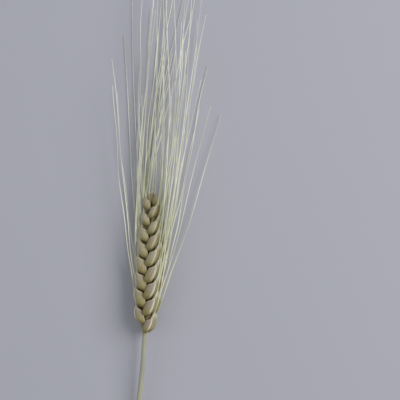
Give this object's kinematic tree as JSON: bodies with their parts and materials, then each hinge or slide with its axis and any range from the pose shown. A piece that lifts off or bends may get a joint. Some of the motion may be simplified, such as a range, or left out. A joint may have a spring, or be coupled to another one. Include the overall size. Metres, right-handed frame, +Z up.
{
  "type": "wheat ear",
  "caption": "Dried bearded wheat ear on a cut straw stem, lying on its side: two columns of overlapping husks with a fan of long bristles.",
  "frame": {"origin": "on the table, under the middle of the whole length and width", "axes": "+Y along the ear, from the cut stem to the bristle tips; +Z up from the table; +X across both columns of husks"},
  "size_m": [0.0488, 0.2308, 0.0214],
  "materials": {
    "ear_straw": "dull dry husk, pale olive straw with paler keels and ivory green bristles",
    "stem_straw": "dry straw with a faint waxy sheen and fine ribs along it"
  },
  "bodies": {
    "root": {"ear": "ear_straw", "stem": "stem_straw"}
  },
  "joints": []
}
